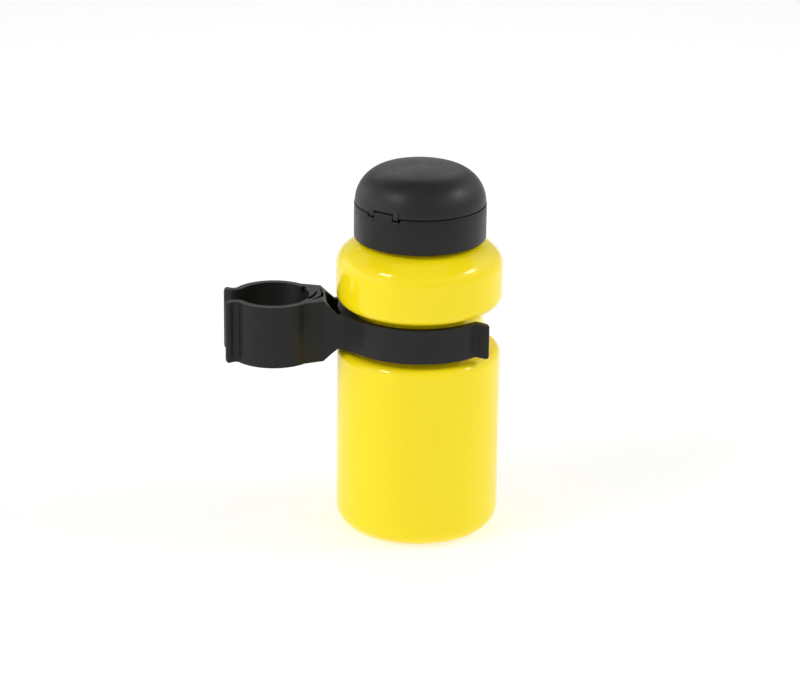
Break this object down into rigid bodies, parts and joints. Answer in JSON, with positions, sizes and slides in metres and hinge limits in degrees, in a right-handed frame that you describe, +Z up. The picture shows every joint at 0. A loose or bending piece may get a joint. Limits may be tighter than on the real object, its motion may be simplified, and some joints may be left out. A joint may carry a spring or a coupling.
{
  "type": "bicycle water bottle",
  "caption": "Small round drinking bottle with a hinged dome cap over a pull spout, and a push-fit tube holder around its waist.",
  "frame": {"origin": "on the bottle's axis, in the plane that the bottle stands on", "axes": "+Z up the bottle's axis; the holder reaches along -X to the bicycle tube, and its bottle band opens towards +X; +Y completes the right-handed set"},
  "size_m": [0.1118, 0.067, 0.153],
  "materials": {
    "yellow_bottle": "glossy, slightly translucent polyethylene",
    "black_cap": "satin polypropylene",
    "black_lid": "satin polypropylene",
    "black_holder": "satin polypropylene",
    "grey_spout": "soft satin plastic",
    "white_stem": "natural satin plastic",
    "grey_gasket": "soft foam-like seal",
    "black_o_ring": "smooth rubber",
    "black_pin": "smooth plastic"
  },
  "bodies": {
    "bottle": {"bottle_body": "yellow_bottle"},
    "holder": {"holder_clip": "black_holder"},
    "gasket": {"cap_gasket": "grey_gasket"},
    "cap": {"cap_collar": "black_cap", "valve_stem": "white_stem", "stem_seal": "black_o_ring", "hinge_pin": "black_pin"},
    "spout": {"pull_spout": "grey_spout"},
    "lid": {"flip_lid": "black_lid"}
  },
  "joints": [
    {"name": "holder_swivel", "type": "hinge", "parent": "bottle", "child": "holder", "pos_m": [0, 0, 0.0863], "axis": [0, 0, 1], "continuous": true},
    {"name": "cap_lift", "type": "slide", "parent": "bottle", "child": "gasket", "axis": [0, 0, 1], "range_m": [0, 0.00801]},
    {"name": "cap_unscrew", "type": "hinge", "parent": "gasket", "child": "cap", "pos_m": [0, 0, 0.13], "axis": [0, 0, 1], "range_deg": [0, 720]},
    {"name": "spout_pull", "type": "slide", "parent": "cap", "child": "spout", "axis": [0, 0, 1], "range_m": [0, 0.003]},
    {"name": "lid_flip", "type": "hinge", "parent": "cap", "child": "lid", "pos_m": [-0.01584, -0.01921, 0.1374], "axis": [0.7716, -0.6361, 0], "range_deg": [0, 110]}
  ],
  "couplings": [
    {"joint": "cap_lift", "follows": "cap_unscrew", "m_per_rad": 0.00063662}
  ]
}
